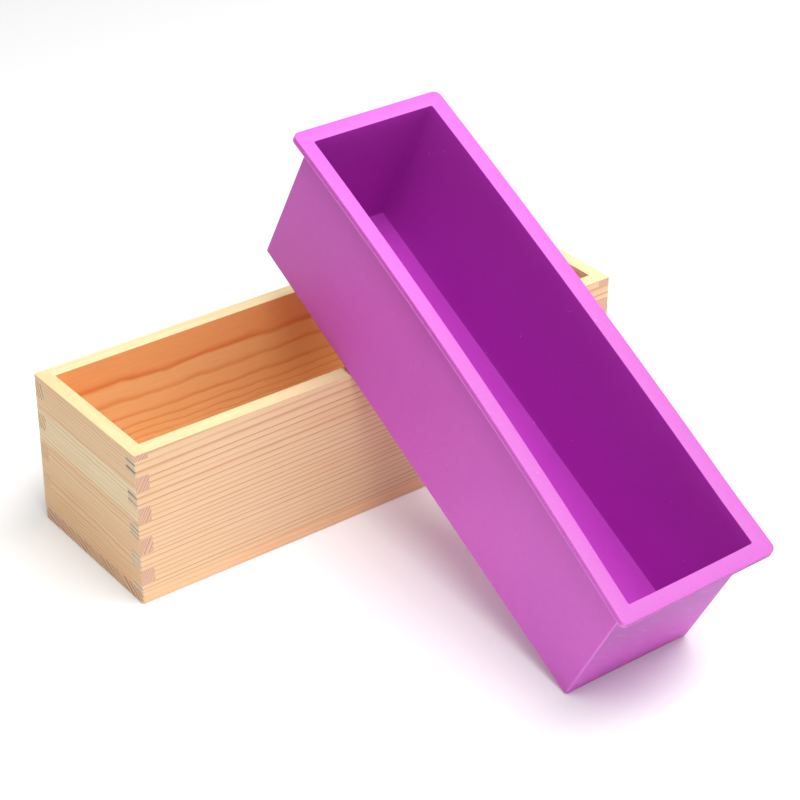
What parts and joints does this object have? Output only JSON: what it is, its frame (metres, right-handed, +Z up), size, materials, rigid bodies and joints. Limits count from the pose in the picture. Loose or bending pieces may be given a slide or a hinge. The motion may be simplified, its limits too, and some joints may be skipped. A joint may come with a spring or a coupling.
{
  "type": "soap loaf mould",
  "caption": "Finger-jointed pine box with a soft flanged silicone liner for casting loaf soap; the liner is out and leans across the box.",
  "frame": {"origin": "centre of the wooden box's underside", "axes": "+X along the box's length, +Y to the back, away from the liner's lower end, +Z up"},
  "size_m": [0.28, 0.2961, 0.1899],
  "materials": {
    "pine_sides": "bare planed pine, flat-sawn",
    "pine_ends": "bare planed pine",
    "pine_bottom": "bare planed pine",
    "violet_silicone": "soft matte silicone"
  },
  "bodies": {
    "box": {"front_side": "pine_sides", "back_side": "pine_sides", "left_end": "pine_ends", "right_end": "pine_ends", "bottom_board": "pine_bottom"},
    "liner": {"silicone_liner": "violet_silicone"}
  },
  "joints": [
    {"name": "liner_lift", "type": "slide", "parent": "box", "child": "liner", "axis": [0, 0, 1], "range_m": [0, 0.15]}
  ]
}
